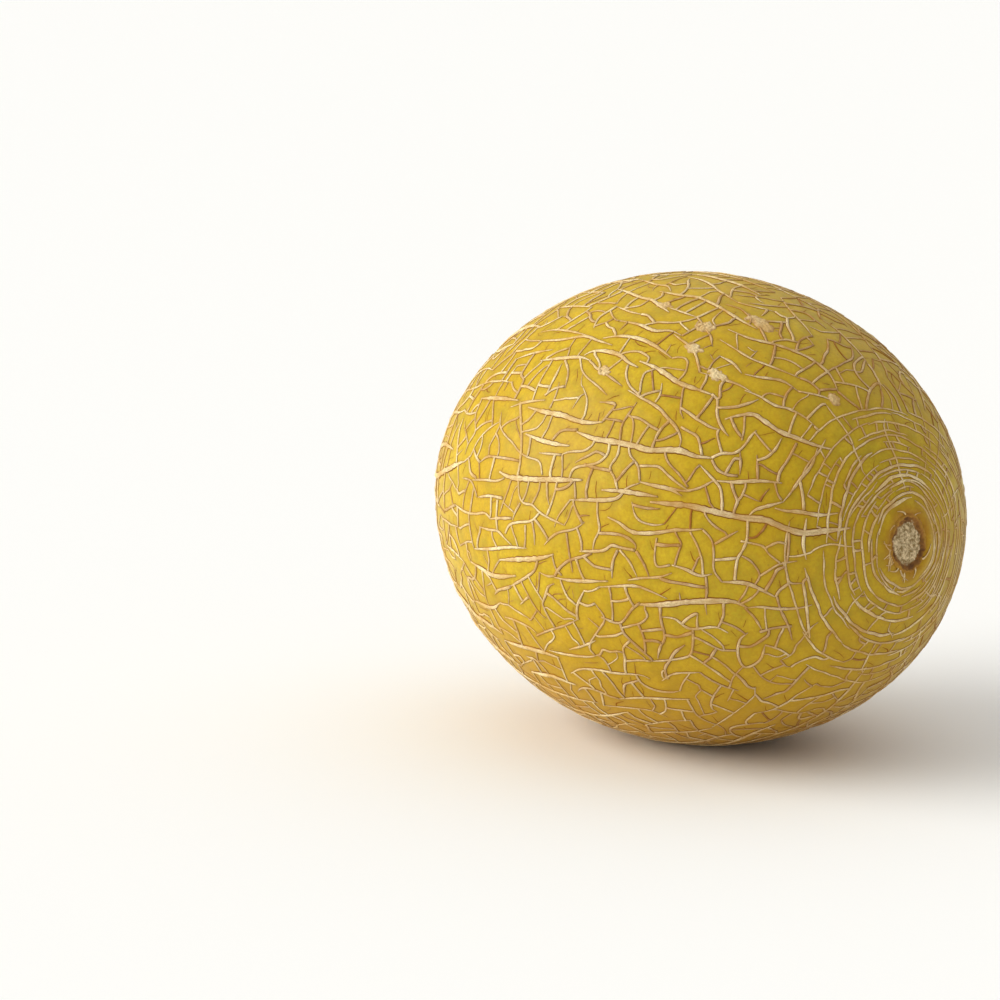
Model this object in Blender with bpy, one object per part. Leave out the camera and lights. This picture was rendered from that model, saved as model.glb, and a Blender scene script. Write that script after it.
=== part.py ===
"""A whole cantaloupe: an oval melon with a raised corky net, lying on the small flat spot it grew on.

The long axis runs along X, with the stem scar at +X and the blossom scar at -X. The origin is the middle
of the flat spot, and +Z is up. The fruit is one grown piece, so rind, net and scars are one closed body.
"""
import math
import random

import bmesh
import bpy
from mathutils import Matrix, Vector, noise

# Driving dimensions, in metres
NAME = "cantaloupe"
LENGTH = 0.238                # stem end to blossom end, over the smooth rind
DIAMETER = 0.185              # across the middle, over the smooth rind
FLAT_DEPTH = 0.0015           # how far the resting spot cuts into the round form
NET_RISE = 0.0014             # crest of the net above the rind
LONG_HALF_WIDTH = 0.0017      # half the width of a ridge that runs from stem to blossom
CROSS_HALF_WIDTH = 0.0011     # half the width of a link across
SCAR_RADIUS = 0.0105          # stem scar
SCAR_DEPTH = 0.0022
BAND_WIDTH = 0.0060           # smooth band of rind round the stem scar
RING_SPACING = 0.0054         # between the rings of net round the stem scar
RING_COUNT = 7
BLOSSOM_RADIUS = 0.0055       # corky button at the blossom end

# The net starts as a grid of meridians and rows round the long axis
MERIDIANS = 44
ROWS = 36
SEED = 71

HALF_LENGTH = LENGTH / 2
RADIUS = DIAMETER / 2
LAST_RING = RING_COUNT + 1    # rows 2 to this one are rings round the stem scar
FIRST_BLOSSOM_ROW = ROWS - 3


def clear_scene():
    """Empty the scene."""
    for thing in list(bpy.data.objects):
        bpy.data.objects.remove(thing, do_unlink=True)


def smoothstep(low, high, value):
    """0 below low, 1 above high, smooth in between."""
    share = min(max((value - low) / (high - low), 0.0), 1.0)
    return share * share * (3.0 - 2.0 * share)


def swelling(direction):
    """How far the fruit departs from a true ellipsoid, as a share of its radius."""
    around = math.atan2(direction.y, direction.z)
    girth = 1.0 - direction.x * direction.x
    lobes = 0.0045 * math.sin(2 * around + 0.6) + 0.0035 * math.sin(5 * around + 1.9)
    return 1.0 + girth * lobes + 0.005 * girth * math.sin(4.0 * direction.x + 0.8)


def on_form(point, lift=0.0):
    """The point on the smooth rind that lies outward from this one, raised along the surface normal."""
    direction = Vector((point.x / HALF_LENGTH, point.y / RADIUS, point.z / RADIUS)).normalized()
    scale = swelling(direction)
    base = Vector((direction.x * HALF_LENGTH, direction.y * RADIUS, direction.z * RADIUS)) * scale
    normal = Vector((direction.x / HALF_LENGTH, direction.y / RADIUS, direction.z / RADIUS)).normalized()
    return base + normal * lift


def meridian_angle(distance):
    """Angle from a pole, at the centre of the unit sphere, of a ring that lies this far from the axis."""
    return math.asin(min(distance / RADIUS, 1.0))


def row_angles():
    """Angle of each row from the stem pole: scar rim, rings, even rows, and the blossom scar's rim."""
    rings = [SCAR_RADIUS, SCAR_RADIUS + BAND_WIDTH]
    rings += [rings[1] + RING_SPACING * step for step in range(1, RING_COUNT)]
    angles = [0.0] + [meridian_angle(radius) for radius in rings]
    ends = [math.pi - meridian_angle(radius) for radius in (0.026, 0.0145, BLOSSOM_RADIUS)]
    even = ROWS - len(angles) - len(ends)
    step = (ends[0] - angles[-1]) / (even + 1)
    angles += [angles[-1] + step * (index + 1) for index in range(even)]
    return angles + ends + [math.pi]


def grid_place(vertex):
    """Row and meridian numbers of a vertex of the unit sphere, whose poles are on the X axis."""
    polar = math.acos(max(-1.0, min(1.0, vertex.co.x)))
    around = math.atan2(vertex.co.y, vertex.co.z) % (2 * math.pi)
    return round(polar / math.pi * ROWS), round(around / (2 * math.pi) * MERIDIANS) % MERIDIANS


def put_in_order(sphere):
    """Sort the grid by row and meridian, so that the seeded choices fall on the same lines every time."""
    sphere.verts.sort(key=lambda vertex: grid_place(vertex)[0] * 1000 + grid_place(vertex)[1])
    for group in (sphere.edges, sphere.faces):
        group.sort(key=lambda item: sum(v.index * (1.0 + 0.001 * v.index) for v in item.verts))


def link_rows(rng):
    """Rows at which each strip between two meridians has a link across, on the body of the fruit."""
    strips = []
    for _ in range(MERIDIANS):
        row = LAST_RING + rng.choice((1, 2))
        rows = set()
        while row < FIRST_BLOSSOM_ROW:
            rows.add(row)
            row += rng.choice((1, 2, 2, 2, 3, 3))
        strips.append(rows)
    return strips


def keeps_row_edge(row, column, strips, chance):
    """Whether the net has a line along this row, from this meridian to the next."""
    if row <= 2 or row >= FIRST_BLOSSOM_ROW:
        return True
    if row <= LAST_RING:
        return chance > 0.07
    return row in strips[column]


def keeps_meridian_edge(row, column, chance):
    """Whether the net has a line along this meridian, from this row to the next."""
    if row == 1:
        return column % 8 == 3
    if row <= LAST_RING // 2:
        return (column + 2 * row) % 6 == 0
    if row < LAST_RING:
        return (column + row) % 4 == 0
    if row >= FIRST_BLOSSOM_ROW - 1:
        return column % 4 == (2 * row) % 4
    return chance > 0.07


def net_lines(sphere, places, rng):
    """Remove the grid lines that the net doesn't have, and return which of the rest are long ridges."""
    dropped = []
    strips = link_rows(rng)
    for edge in sphere.edges:
        (row_a, column_a), (row_b, column_b) = (places[vertex] for vertex in edge.verts)
        chance = rng.random()
        if min(row_a, row_b) == 0 or max(row_a, row_b) == ROWS:
            continue
        if row_a == row_b:
            first = column_a if (column_b - column_a) % MERIDIANS == 1 else column_b
            kept = keeps_row_edge(row_a, first, strips, chance)
        else:
            kept = keeps_meridian_edge(min(row_a, row_b), column_a, chance)
        if not kept:
            dropped.append(edge)
    bmesh.ops.dissolve_edges(sphere, edges=dropped, use_verts=False, use_face_split=False)
    poles = [vertex for vertex in sphere.verts if places.get(vertex, (1, 0))[0] in (0, ROWS)]
    bmesh.ops.dissolve_verts(sphere, verts=poles)


def thin_out_ring_points(sphere, places):
    """Keep every other point where two lines don't meet, on the small rings at both ends."""
    spare = []
    for vertex in sphere.verts:
        row, column = places[vertex]
        small = row <= LAST_RING // 2 + 1 or row >= FIRST_BLOSSOM_ROW
        if small and column % 2 and len(vertex.link_edges) == 2:
            spare.append(vertex)
    bmesh.ops.dissolve_verts(sphere, verts=spare)


def net_point(row, column, angles, rng):
    """Where a crossing of the net lies on the form: its grid place, pushed about along the surface."""
    polar = angles[row]
    around = 2 * math.pi * column / MERIDIANS
    calm = smoothstep(1.0, LAST_RING + 3.0, row) * smoothstep(0.0, 4.0, ROWS - row)
    spacing = angles[min(row + 1, ROWS)] - angles[row - 1]
    polar += rng.uniform(-0.17, 0.17) * spacing * (0.35 + 0.65 * calm) * (row > 2)
    around += rng.uniform(-0.26, 0.26) * 2 * math.pi / MERIDIANS * calm
    drift = noise.noise(Vector((math.cos(around) * 1.6, math.sin(around) * 1.6, polar * 1.9)))
    around += 0.11 * drift * smoothstep(2.0, LAST_RING + 4.0, row)
    polar += 0.05 * drift * calm
    ragged = 1.0 + (0.07 * math.sin(3 * around) + 0.05 * math.sin(7 * around + 1)) * (row == 1)
    direction = Vector((
        math.cos(polar * ragged),
        math.sin(polar * ragged) * math.sin(around),
        math.sin(polar * ragged) * math.cos(around),
    ))
    direction.z += 0.04 * math.exp(-((polar / 0.7) ** 2))   # the stem sat a little above the middle
    direction.normalize()
    return on_form(Vector((direction.x * HALF_LENGTH, direction.y * RADIUS, direction.z * RADIUS)))


def corner_inset(corner, before, after, half_width_before, half_width_after):
    """Foot of the ridges at one corner of a cell: where the feet of its two ridges meet."""
    normal = on_form(corner, 1.0) - on_form(corner)
    along_before = (corner - before).normalized()
    along_after = (after - corner).normalized()
    inward_before = normal.cross(along_before).normalized()
    inward_after = normal.cross(along_after).normalized()
    shared = inward_before.dot(inward_after)
    det = 1.0 - shared * shared
    if det < 0.08:
        middle = (inward_before + inward_after).normalized()
        return corner + middle * (half_width_before + half_width_after) / 2
    part_before = (half_width_before - half_width_after * shared) / det
    part_after = (half_width_after - half_width_before * shared) / det
    offset = inward_before * part_before + inward_after * part_after
    longest = 1.9 * max(half_width_before, half_width_after)
    if offset.length > longest:
        offset *= longest / offset.length
    return corner + offset


def half_width(places, first, second):
    """Half the width of the ridge between two crossings of the net."""
    (row_a, _), (row_b, _) = places[first], places[second]
    if row_a == row_b or min(row_a, row_b) <= LAST_RING:
        return CROSS_HALF_WIDTH
    return LONG_HALF_WIDTH


def cell_feet(corners, places):
    """Feet of the ridges round one cell, made narrower until they run the same way as the ridges."""
    count = len(corners)
    for share in (1.0, 0.8, 0.6, 0.45, 0.3):
        feet = []
        for index, corner in enumerate(corners):
            before = corners[index - 1]
            after = corners[(index + 1) % count]
            width_before = half_width(places, before, corner) * share
            width_after = half_width(places, corner, after) * share
            feet.append(corner_inset(corner.co, before.co, after.co, width_before, width_after))
        runs = [
            (feet[(i + 1) % count] - feet[i]).dot((corners[(i + 1) % count].co - corners[i].co).normalized())
            for i in range(count)
        ]
        if min(runs) > 0.0004:
            break
    return feet


def sink_cells(body, places, caps):
    """Sink every cell of the net to the rind, which leaves the lines between the cells as ridges."""
    cells = [face for face in body.faces if face not in caps]
    feet_of = {face: cell_feet(list(face.verts), places) for face in cells}
    corners_of = {face: [vertex.co.copy() for vertex in face.verts] for face in cells}
    bmesh.ops.inset_individual(body, faces=cells, thickness=0.0001, use_even_offset=True)
    for face in cells:
        for vertex in face.verts:
            nearest = min(range(len(feet_of[face])), key=lambda i: (corners_of[face][i] - vertex.co).length)
            vertex.co = on_form(feet_of[face][nearest])


def raise_net(crossings):
    """Raise the lines of the net, less where the fruit lies on them and wears them down."""
    for vertex in crossings:
        reach = math.hypot(vertex.co.x, vertex.co.y) if vertex.co.z < 0 else 1.0
        vertex.co = on_form(vertex.co, NET_RISE * smoothstep(0.018, 0.040, reach))


def shape_cap(body, cap, steps):
    """Turn a round cap at one end into a scar: each step shrinks it to a share of its size, then sinks it."""
    middle = cap.calc_center_median()
    outward = 1.0 if middle.x > 0 else -1.0
    for share, down in steps:
        cap = bmesh.ops.extrude_discrete_faces(body, faces=[cap])["faces"][0]
        to_middle = Matrix.Translation(-middle)
        bmesh.ops.scale(body, verts=cap.verts, vec=(share, share, share), space=to_middle)
        bmesh.ops.translate(body, verts=cap.verts, vec=(-outward * down, 0, 0))
        middle.x -= outward * down
    bmesh.ops.poke(body, faces=[cap])


def cut_flat_spot(body):
    """Cut the flat spot that the melon rests on, and put it at the height of the origin."""
    height = FLAT_DEPTH - RADIUS
    for vertex in body.verts:
        if abs(vertex.co.z - height) < 0.00015:
            vertex.co.z = height
    geometry = list(body.verts) + list(body.edges) + list(body.faces)
    cut = bmesh.ops.bisect_plane(
        body, geom=geometry, dist=0.000001, plane_co=(0, 0, height), plane_no=(0, 0, -1), clear_outer=True
    )
    rim = [item for item in cut["geom_cut"] if isinstance(item, bmesh.types.BMEdge)]
    bmesh.ops.triangle_fill(body, edges=rim, use_beauty=True, normal=(0, 0, -1))
    bmesh.ops.translate(body, verts=body.verts, vec=(0, 0, -height))


def rind_material():
    """Waxy golden rind with a cream net over it."""
    material = bpy.data.materials.new("rind")
    material.use_nodes = True
    shader = material.node_tree.nodes["Principled BSDF"]
    shader.inputs["Base Color"].default_value = (0.58, 0.40, 0.10, 1.0)
    shader.inputs["Roughness"].default_value = 0.55
    shader.inputs["Metallic"].default_value = 0.0
    material.diffuse_color = (0.58, 0.40, 0.10, 1.0)
    return material


def build_melon():
    """The whole melon as one closed body."""
    rng = random.Random(SEED)
    body = bmesh.new()
    along_x = Matrix.Rotation(math.pi / 2, 4, "Y")
    bmesh.ops.create_uvsphere(body, u_segments=MERIDIANS, v_segments=ROWS, radius=1.0, matrix=along_x)
    put_in_order(body)
    places = {vertex: grid_place(vertex) for vertex in body.verts}
    net_lines(body, places, rng)
    places = {vertex: place for vertex, place in places.items() if vertex.is_valid}
    thin_out_ring_points(body, places)
    places = {vertex: place for vertex, place in places.items() if vertex.is_valid}

    angles = row_angles()
    for vertex in body.verts:
        row, column = places[vertex]
        vertex.co = net_point(row, column, angles, rng)

    crossings = list(body.verts)
    caps = [face for face in body.faces if {places[vertex][0] for vertex in face.verts} in ({1}, {ROWS - 1})]
    sink_cells(body, places, caps)
    raise_net(crossings)
    for cap in caps:
        if cap.calc_center_median().x > 0:
            shape_cap(body, cap, ((0.84, SCAR_DEPTH), (0.62, -0.0008), (0.55, 0.0007)))
        else:
            shape_cap(body, cap, ((0.75, 0.0009), (0.60, -0.0005)))

    bmesh.ops.triangulate(body, faces=body.faces, quad_method="BEAUTY", ngon_method="BEAUTY")
    cut_flat_spot(body)
    bmesh.ops.triangulate(body, faces=body.faces, quad_method="BEAUTY", ngon_method="BEAUTY")
    bmesh.ops.recalc_face_normals(body, faces=body.faces)

    mesh = bpy.data.meshes.new(NAME)
    body.to_mesh(mesh)
    body.free()
    mesh.materials.append(rind_material())
    mesh.shade_smooth()
    return bpy.data.objects.new(NAME, mesh)


clear_scene()
collection = bpy.data.collections.new(NAME)
bpy.context.scene.collection.children.link(collection)
collection.objects.link(build_melon())
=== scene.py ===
"""A whole cantaloupe, lying on its flat spot: golden waxy rind, raised cork net, stem and blossom scars."""
import math
import random

import bpy
import numpy as np
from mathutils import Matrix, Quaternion, Vector, kdtree, noise


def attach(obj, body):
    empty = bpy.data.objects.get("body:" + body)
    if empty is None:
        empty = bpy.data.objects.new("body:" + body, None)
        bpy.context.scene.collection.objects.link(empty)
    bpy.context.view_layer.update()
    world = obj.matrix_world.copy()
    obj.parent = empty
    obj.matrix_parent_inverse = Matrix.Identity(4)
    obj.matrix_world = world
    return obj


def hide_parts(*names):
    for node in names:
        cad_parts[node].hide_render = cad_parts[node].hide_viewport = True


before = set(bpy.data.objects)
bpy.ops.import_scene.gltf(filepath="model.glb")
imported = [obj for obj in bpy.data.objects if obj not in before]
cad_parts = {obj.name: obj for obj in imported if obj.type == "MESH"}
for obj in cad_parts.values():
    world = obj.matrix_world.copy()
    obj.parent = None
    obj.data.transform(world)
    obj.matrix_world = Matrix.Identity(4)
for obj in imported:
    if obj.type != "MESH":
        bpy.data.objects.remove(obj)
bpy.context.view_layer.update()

# The fruit's form
# An oval melon that grew lying down: longest from stem to blossom end, faintly lobed, flat where it lay.
# Every piece is set out on this skin in millimetres from the fruit's middle, and made in metres.
HALF_LENGTH = 119.0
RADIUS = 92.5
FLAT_DEPTH = 1.5              # how deep the flat spot cuts in
FLOOR_LEVEL = FLAT_DEPTH - RADIUS
TWO_LOBES, FIVE_LOBES = 0.0045, 0.0035   # rise of the faint lobes round the girth, as shares of the radius
SHOULDER = 0.005              # how much fuller the girth is towards the stem end, the same way
STEM_RISE = 0.04              # the stem sat this share of the radius above the middle
RISE_FADES = 60.0             # how far out from the axis that is gone
STEM_OVAL = 0.86              # the stem scar and the rings next to it are this much narrower than tall
OVAL_FADES = 40.0             # how far out from the axis they are round again
MM = 0.001
rng = random.Random(1847)


def on_skin(point):
    """The place on the bare skin outward from a point, and the skin's normal there."""
    dx, dy, dz = point[0] / HALF_LENGTH, point[1] / RADIUS, point[2] / RADIUS
    size = math.sqrt(dx * dx + dy * dy + dz * dz)
    dx, dy, dz = dx / size, dy / size, dz / size
    around = math.atan2(dy, dz)
    girth = 1.0 - dx * dx
    lobes = TWO_LOBES * math.sin(2 * around + 0.6) + FIVE_LOBES * math.sin(5 * around + 1.9)
    swell = 1.0 + girth * lobes + SHOULDER * girth * math.sin(4.0 * dx + 0.8)
    place = Vector((dx * HALF_LENGTH * swell, dy * RADIUS * swell, dz * RADIUS * swell))
    return place, Vector((dx / HALF_LENGTH, dy / RADIUS, dz / RADIUS)).normalized()


def end_place(side, distance, clock):
    """A place on the skin this far from the long axis, at a clock angle from the top, near one end."""
    sine = min(distance / RADIUS, 1.0)
    rise = STEM_RISE * RADIUS * math.exp(-((distance / RISE_FADES) ** 2)) if side > 0 else 0.0
    squeeze = 1.0 - (1.0 - STEM_OVAL) * math.exp(-((distance / OVAL_FADES) ** 2)) if side > 0 else 1.0
    return on_skin((
        side * HALF_LENGTH * math.sqrt(1.0 - sine * sine),
        distance * math.sin(clock) * squeeze,
        distance * math.cos(clock) + rise,
    ))


def place_inside(along, clock):
    """A place under the skin, this far along the fruit and at a clock angle from the top."""
    across = math.sqrt(1.0 - (along / HALF_LENGTH) ** 2) * RADIUS
    return along, across * math.sin(clock), across * math.cos(clock)


def anywhere():
    """A place drawn at random on the skin, and its normal."""
    spread = Vector((rng.gauss(0, 1), rng.gauss(0, 1), rng.gauss(0, 1)))
    return on_skin(Vector((spread.x * HALF_LENGTH, spread.y * RADIUS, spread.z * RADIUS)))


STEM_SPOT = end_place(1.0, 0.0, 0.0)[0]
BLOSSOM_SPOT = end_place(-1.0, 0.0, 0.0)[0]


# The net's cracks
# As the fruit swells its skin splits, and cork heals each split into a ridge. Main cracks run from stem to
# blossom end, rings circle the stem, and finer ones cross each open cell until they meet another crack.
STEP = 1.0                    # between the points of a crack
SIGHT = 3.5                   # how far off a growing crack feels another one
JOIN = 1.15                   # how near it runs into it
REACHES = 2.2                 # how near a cell wall's end lies to a ridge that it joins
PULL = 0.22                   # how strongly a growing crack turns to the one that it feels
BESIDE = 0.85                 # cosine of the angle under which two cracks count as side by side
TURN_KEPT = 0.6               # share of each turn that carries on into the next step
LOOP = 16                     # steps within which a return to the parent crack is a loop, and dropped
MAIN, LINK, FINE, RING, HAIR = range(5)
# Half the width of a ridge over each kind of crack, before its own share and its taper
HALF_WIDTHS = {MAIN: 0.95, LINK: 0.42, FINE: 0.28, RING: 0.43, HAIR: 0.20}
BEND_CHANCE = 0.16            # at each step, of a sudden bend
BAND_EDGE = 16.0              # smooth band round the stem scar: no crack grows nearer than this
BUTTON_EDGE = 7.5             # the same round the blossom scar
cracks = []
crowd = {}


def smoothstep(low, high, value):
    """0 below low, 1 above high, smooth in between; for a number or an array."""
    share = np.clip((value - low) / (high - low), 0.0, 1.0)
    return share * share * (3.0 - 2.0 * share)


def along_fruit(place, normal):
    """Direction from stem to blossom end along the skin, with a slow wander."""
    pull = (place - STEM_SPOT).normalized() - (place - BLOSSOM_SPOT).normalized()
    pull -= normal * pull.dot(normal)
    pull.normalize()
    pull.rotate(Quaternion(normal, 0.26 * noise.noise(place / 45.0)))
    return pull


def keep_crack(kind, path, joined_start, joined_end, width_share=1.0):
    """Store a crack, and mark where it runs so that later ones feel it."""
    number = len(cracks)
    cracks.append({
        "kind": kind, "path": path, "joined": (joined_start, joined_end),
        "half_width": HALF_WIDTHS[kind] * width_share,
    })
    for index, place in enumerate(path):
        ahead = path[min(index + 1, len(path) - 1)] - path[max(index - 1, 0)]
        key = (int(place.x // SIGHT), int(place.y // SIGHT), int(place.z // SIGHT))
        crowd.setdefault(key, []).append((place, number, ahead.normalized()))
    return number


def nearest_crack(place, ignored):
    """The nearest stored point of any other crack within sight: its place, crack number and direction."""
    best, found = SIGHT * SIGHT, None
    kx, ky, kz = int(place.x // SIGHT), int(place.y // SIGHT), int(place.z // SIGHT)
    for x in (kx - 1, kx, kx + 1):
        for y in (ky - 1, ky, ky + 1):
            for z in (kz - 1, kz, kz + 1):
                for entry in crowd.get((x, y, z), ()):
                    gap = (entry[0] - place).length_squared
                    if gap < best and entry[1] not in ignored:
                        best, found = gap, entry
    return found, math.sqrt(best)


def grow(start, heading, reach, parent=None, wander=0.05, follow=0.0, bend=0.4, lean=0.0, through=False):
    """Follow one crack over the skin until it meets another, dies out beside one, or has run its length."""
    place, normal = on_skin(start)
    path, turn = [place], 0.0
    for count in range(int(reach / STEP)):
        turn = TURN_KEPT * turn + rng.gauss(0.0, wander)
        sharp = rng.gauss(0.0, bend) if rng.random() < BEND_CHANCE else 0.0
        heading = heading.copy()
        heading.rotate(Quaternion(normal, turn + sharp + lean))
        if follow:
            field = along_fruit(place, normal)
            heading = heading * (1.0 - follow) + field * (follow if heading.dot(field) > 0 else -follow)
        if not through:
            found, gap = nearest_crack(place, (parent,) if count < 4 else ())
            if found:
                to_it = (found[0] - place).normalized()
                if follow and abs(found[2].dot(heading)) > BESIDE and gap > JOIN:
                    return path, False
                if gap < JOIN:
                    path.append(found[0].copy())
                    loops_back = found[1] == parent and count < LOOP
                    return ([] if loops_back else path), True
                if to_it.dot(heading) > 0.3:
                    heading = heading + to_it * PULL * (1.0 - gap / SIGHT)
        heading = heading - normal * heading.dot(normal)
        heading.normalize()
        place, normal = on_skin(place + heading * STEP)
        if (place - STEM_SPOT).length < BAND_EDGE or (place - BLOSSOM_SPOT).length < BUTTON_EDGE:
            return path, False
        path.append(place)
    return path, False


# The long ridges of the side that shows most, and the cell walls between them, set out one by one
LONG_RIDGES = (               # share of full width, then mm along the fruit, degrees round, in turns
    (0.90, (-8.7, -59.1, -0.8, -59.5, 7.9, -59.5, 13.3, -59.5, 19, -59.9, 26.4, -59.7, 31.9, -58.6)),
    (1.00, (22.2, -62.6, 26.3, -62.9, 31.4, -63.2, 40.2, -62.7, 48.6, -62.3, 54.7, -62.2, 64.4, -59.9,
     70.6, -59.9, 76, -58.7)),
    (0.95, (-13.5, -75.8, -6.6, -76.5, 5.2, -76, 20.8, -74.7, 31.5, -73.6)),
    (0.80, (-3.7, -65.7, 5.2, -66.4, 13.6, -66.6, 21.2, -66.3)),
    (0.80, (40.6, -75, 48, -74.3, 54, -74, 62.6, -73.7)),
    (0.65, (27.3, -78.9, 34.1, -78.2, 42.6, -77.3, 47.8, -76.1, 50.5, -73.2, 54.9, -71.2)),
    (0.65, (54.8, -70.9, 60.6, -71, 66.1, -70.9, 70.7, -72)),
    (1.00, (60.2, -75.5, 67.3, -74.9, 74, -74.3, 81.1, -74.4, 86.5, -74.5, 90.8, -74.4, 96, -73.5, 98.7,
     -74.2, 102.4, -75.4, 105.7, -75.5, 109.4, -72.1, 113.4, -65.2)),
    (0.90, (-10.7, -97, 2.2, -95.5, 13.6, -94.2, 21.1, -92.6)),
    (0.90, (-34.7, -100.7, -26.6, -101.1, -15.8, -101.7, -1.4, -100)),
    (0.65, (20.7, -98.3, 28.1, -98.5, 37.4, -98.1, 45.3, -97.7)),
    (0.50, (41.5, -99.4, 48, -98.9, 56, -98.5, 61.4, -99.8, 67.2, -102.1)),
    (1.00, (55.7, -103.6, 62.5, -103.9, 67.9, -103.7, 74.8, -103.3, 82.7, -103.6, 88.4, -104.7, 91.6,
     -107.7)),
    (0.55, (91.6, -107.7, 94.8, -108.2, 99.5, -111, 103.9, -113.4, 106.5, -114)),
    (0.60, (69.9, -92.1, 74.3, -93.1, 79, -95.1, 82.7, -94.5)),
    (0.70, (85.5, -97.2, 91.9, -98, 95.6, -100.8, 99, -105.2)),
    (0.65, (44.9, -81.3, 50, -82.3, 55.4, -84.1, 63.6, -83.5, 70.4, -81.9, 75.3, -81.3, 79.3, -80.4)),
    (0.60, (-29.7, -96.5, -17.1, -95, -3.5, -93.1, 6.6, -92.4)),
    (0.50, (-24.7, -90.3, -16.6, -90.2, -11.1, -89.9, -6.5, -91.2, -2.2, -92.5)),
    (0.80, (-47.3, -57.6, -30.1, -57.6, -16.9, -57.7)),
    (0.50, (-20.1, -59.7, -11.9, -58, -0.8, -56.6)),
    (0.80, (-17.4, -46.1, -6.2, -44.9, 4, -43.7, 10, -44)),
    (0.55, (-36.5, -45.5, -27.6, -44, -14.9, -42.5)),
    (0.80, (5.3, -42.9, 7.7, -41.4, 13.8, -40.5, 21.8, -40.5, 27.4, -41.7, 32.9, -42.2)),
    (0.90, (31.8, -40.4, 39.3, -40.6, 46.1, -41.3, 52.3, -42.1, 60.3, -41.5, 64.8, -41)),
    (0.60, (-27.8, -39.6, -14.9, -39.2, -2.2, -37.3, 5.7, -37.9, 14.7, -38.3)),
    (0.75, (7.7, -36.9, 14.6, -35.1, 24.1, -34.3, 32.5, -34.8, 42.6, -36.3)),
    (0.50, (-34.1, -36, -24.1, -35.6, -12, -36.2, 0.4, -37.1)),
    (0.70, (7.5, -30.4, 18.1, -30.1, 26.7, -30.5, 32.1, -28.8, 38.2, -28.8)),
    (0.55, (-46.1, -23.8, -32.9, -25.1, -16, -26.4)),
    (0.55, (-36.3, -16.8, -21.5, -18.8)),
    (0.75, (-16.7, -17, 2.3, -20.3, 9.7, -20.5, 16.6, -22, 23.3, -23.1)),
    (0.45, (-2.2, -25.5, 7.1, -26.6, 14, -26.6)),
    (0.60, (-16.3, -9.9, -1.7, -12.9, 5.7, -12.9, 11.2, -15)),
    (0.70, (7, -16.2, 17.4, -15.7, 24.3, -14.2, 32.5, -14.2, 39.9, -14.5, 48.2, -14.9, 56.1, -14.3)),
    (0.45, (21.5, -21.6, 29.4, -21.5, 35.2, -21.2)),
    (0.50, (55.7, -36.6, 63.2, -35.4, 70.4, -34.1, 75.1, -34)),
    (0.45, (51.2, -24.5, 58.5, -24.6, 65.2, -24.5, 70.5, -23.2, 77, -20.9, 81.6, -18.8)),
    (0.60, (49.4, -20.1, 58.4, -18.7, 65.9, -15.1, 72.1, -12.1, 76.9, -9.9, 82.7, -8.5, 86.9, -8.8, 91,
     -10.7)),
    (0.45, (40.7, 4.1, 47.9, 1.8, 55.6, 0.1, 62.4, -0.8, 67.7, -1.9)),
    (0.45, (57.3, 8.3, 63.9, 9.9, 70.9, 10.5, 76.2, 11.2, 82.3, 11.3)),
    (0.55, (68.7, -30.1, 73.2, -28.1, 78.3, -24.6, 81.7, -23.6, 84.8, -23.3)),
    (0.50, (56.8, -29.2, 62.5, -29.1, 67.7, -30.4)),
    (0.80, (73.7, -46.1, 75.8, -43.8, 80.1, -40.2, 84.4, -40.1, 89.6, -40.2, 93.8, -38.7, 97.7, -36.8,
     100.5, -34.6, 102.5, -31.9)),
    (0.50, (72.9, -34.7, 78, -33.6, 83.4, -33.2, 87.4, -30.9, 92, -29.5, 95.6, -29.5)),
    (0.65, (80.1, -64.9, 85.3, -63.5, 91.7, -60.1, 97.2, -57.5)),
    (0.60, (100, -36.2, 101.3, -44.3, 100.7, -53, 100, -60.4, 99.1, -64.6)),
    (0.60, (99.1, -64.6, 95.9, -68, 92.9, -70.8, 91.6, -73.8)),
    (0.65, (97.7, -68, 100.2, -67.9, 103.5, -66.3, 107.7, -64.4, 110.7, -59.1)),
    (1.00, (-25.3, -121.7, -17.7, -121.3, -6.9, -120.6, 2.4, -120.5, 10.4, -121.1)),
    (0.60, (6.3, -119.4, 17.3, -119.6, 27.5, -119.5, 33, -118.6)),
    (0.55, (-16.2, -112.9, -9.3, -112.7, -0.5, -113.5, 2.7, -114.8)),
    (0.55, (12.6, -125.8, 19.9, -123.8, 29.2, -123.6, 35.7, -124.4, 46.4, -125.3, 49.6, -126.9)),
    (0.60, (29.4, -133.8, 39.5, -133.4, 47.8, -134.4, 58.9, -136.6)),
    (0.50, (21, -150.9, 34.7, -150.5, 43.4, -151.6, 53.5, -152)),
    (0.45, (54.2, -151.4, 65.6, -148.3, 72.2, -146.4)),
    (0.45, (27.9, -145.9, 39.7, -144.5, 50.5, -145.5)),
    (0.40, (17.9, -137.1, 28.1, -137.3, 38.9, -138.7, 43.3, -142.6)),
    (0.60, (35.2, -48.9, 41.5, -49.7, 46.3, -50.1, 51.3, -50.9, 55.8, -52.5, 60.1, -54, 63.9, -56.9, 64.4,
     -59.9)),
    (0.55, (63.4, -107.5, 68.5, -108.4, 72.6, -112, 80.7, -112.6, 84, -115.6)),
)
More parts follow.
